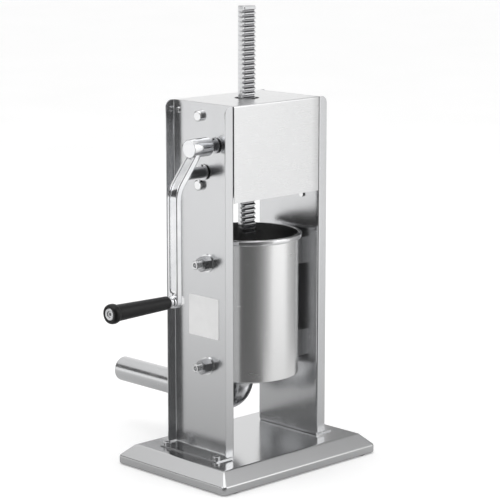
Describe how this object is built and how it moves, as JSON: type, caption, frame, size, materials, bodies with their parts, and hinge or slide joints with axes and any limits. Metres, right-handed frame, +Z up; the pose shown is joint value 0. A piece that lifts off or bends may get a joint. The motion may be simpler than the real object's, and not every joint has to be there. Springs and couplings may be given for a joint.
{
  "type": "sausage stuffer",
  "caption": "Vertical hand-cranked sausage stuffer: stainless frame on a flat base, meat canister under a geared toothed rack and piston, side crank with black grip, outlet tube at the foot.",
  "frame": {"origin": "centre of the whole object's outer box, on the plane the feet stand on; the canister's axis is vertical through x=-0.0605, y=0.07575", "axes": "+X along the crank shaft, from the far side plate towards the crank; -Y is the way the stuffing tube points; +Z up along the rack"},
  "size_m": [0.411, 0.3664, 0.6225],
  "materials": {
    "frame_steel": "bright rolled stainless sheet with fine vertical grain",
    "base_steel": "satin stainless sheet",
    "cover_steel": "bright stainless sheet",
    "canister_steel": "polished stainless",
    "rack_steel": "ground bar with milled teeth",
    "gear_steel": "machined steel, lightly oiled",
    "bracket_steel": "plain steel",
    "crank_chrome": "bright chrome plate",
    "bolt_steel": "bright zinc-plated steel",
    "tube_steel": "satin stainless",
    "black_nylon": "dull black",
    "white_nylon": "off-white, lightly waxy",
    "grip_plastic": "semi-gloss black",
    "rubber_black": "dull",
    "seal_silicone": "off-white food-grade silicone",
    "plate_label": "plain silver sheet, blank"
  },
  "bodies": {
    "frame": {"base_pan": "base_steel", "base_feet": "rubber_black", "foot_bolts": "bolt_steel", "foot_nuts": "bolt_steel", "crank_side_plate": "frame_steel", "far_side_plate": "frame_steel", "rating_plate": "plate_label", "gear_cover": "cover_steel", "cover_screws": "bolt_steel", "cover_nuts": "bolt_steel", "gear_frame_cheeks": "bracket_steel", "gear_frame_webs": "bracket_steel", "bearing_plates": "bracket_steel", "gear_frame_bolts": "bolt_steel", "gear_frame_nuts": "bolt_steel", "pinion_bushes": "black_nylon", "slow_shaft_bushes": "black_nylon", "rack_guides": "black_nylon", "canister_shell": "canister_steel", "canister_rim": "canister_steel", "support_blocks": "bracket_steel", "canister_pins": "bolt_steel", "pin_washers": "bolt_steel", "pin_nuts": "bolt_steel", "outlet_elbow": "canister_steel", "outlet_collar": "canister_steel", "tube_gasket": "seal_silicone"},
    "rack_and_piston": {"rack": "rack_steel", "piston_plate": "white_nylon", "piston_seal": "seal_silicone", "piston_washer": "bolt_steel", "piston_nut": "bolt_steel", "air_valve_body": "canister_steel", "air_valve_spring": "canister_steel"},
    "air_valve": {"air_valve_stem": "canister_steel"},
    "pinion_shaft": {"pinion_shaft": "gear_steel", "rack_pinion": "gear_steel", "large_gear": "gear_steel", "pinion_clips": "bolt_steel"},
    "slow_shaft": {"slow_shaft": "gear_steel", "small_gear": "gear_steel", "slow_shaft_clips": "bolt_steel"},
    "crank": {"crank_arm": "crank_chrome", "grip_ferrule": "crank_chrome", "grip_spindle": "bolt_steel", "spindle_nut": "bolt_steel"},
    "grip": {"grip": "grip_plastic"},
    "thumb_screw": {"thumb_screw": "bolt_steel"},
    "stuffing_tube": {"stuffing_tube": "tube_steel"},
    "outlet_nut": {"outlet_nut": "canister_steel"}
  },
  "joints": [
    {"name": "crank_turn", "type": "hinge", "parent": "frame", "child": "pinion_shaft", "pos_m": [0.0205, 0.09975, 0.446], "axis": [1, 0, 0], "range_deg": [-292, 319]},
    {"name": "rack_lift", "type": "slide", "parent": "frame", "child": "rack_and_piston", "axis": [0, 0, 1], "range_m": [-0.106, 0.097]},
    {"name": "slow_shaft_turn", "type": "hinge", "parent": "frame", "child": "slow_shaft", "pos_m": [0.0205, 0.07825, 0.40876], "axis": [1, 0, 0], "range_deg": [-597, 547]},
    {"name": "crank_pull_off", "type": "slide", "parent": "pinion_shaft", "child": "crank", "axis": [1, 0, 0], "range_m": [0, 0.04]},
    {"name": "grip_spin", "type": "hinge", "parent": "crank", "child": "grip", "pos_m": [0.1545, 0.09975, 0.249], "axis": [1, 0, 0], "continuous": true},
    {"name": "thumb_screw_turn", "type": "hinge", "parent": "crank", "child": "thumb_screw", "pos_m": [0.0515, 0.08575, 0.446], "axis": [0, -1, 0], "range_deg": [-360, 720]},
    {"name": "air_valve_push", "type": "slide", "parent": "rack_and_piston", "child": "air_valve", "axis": [0, 0, -1], "range_m": [0, 0.003], "stiffness_N_per_m": 300, "springref_m": -0.004, "deforming": ["air_valve_spring"]},
    {"name": "tube_pull_off", "type": "slide", "parent": "frame", "child": "stuffing_tube", "axis": [0, -1, 0], "range_m": [0, 0.06]},
    {"name": "outlet_nut_turn", "type": "hinge", "parent": "stuffing_tube", "child": "outlet_nut", "pos_m": [-0.0605, -0.02425, 0.0805], "axis": [0, 1, 0], "range_deg": [-90, 1080]}
  ],
  "couplings": [
    {"joint": "rack_lift", "follows": "crank_turn", "m_per_rad": -0.019},
    {"joint": "slow_shaft_turn", "follows": "crank_turn", "ratio": -1.8667}
  ]
}
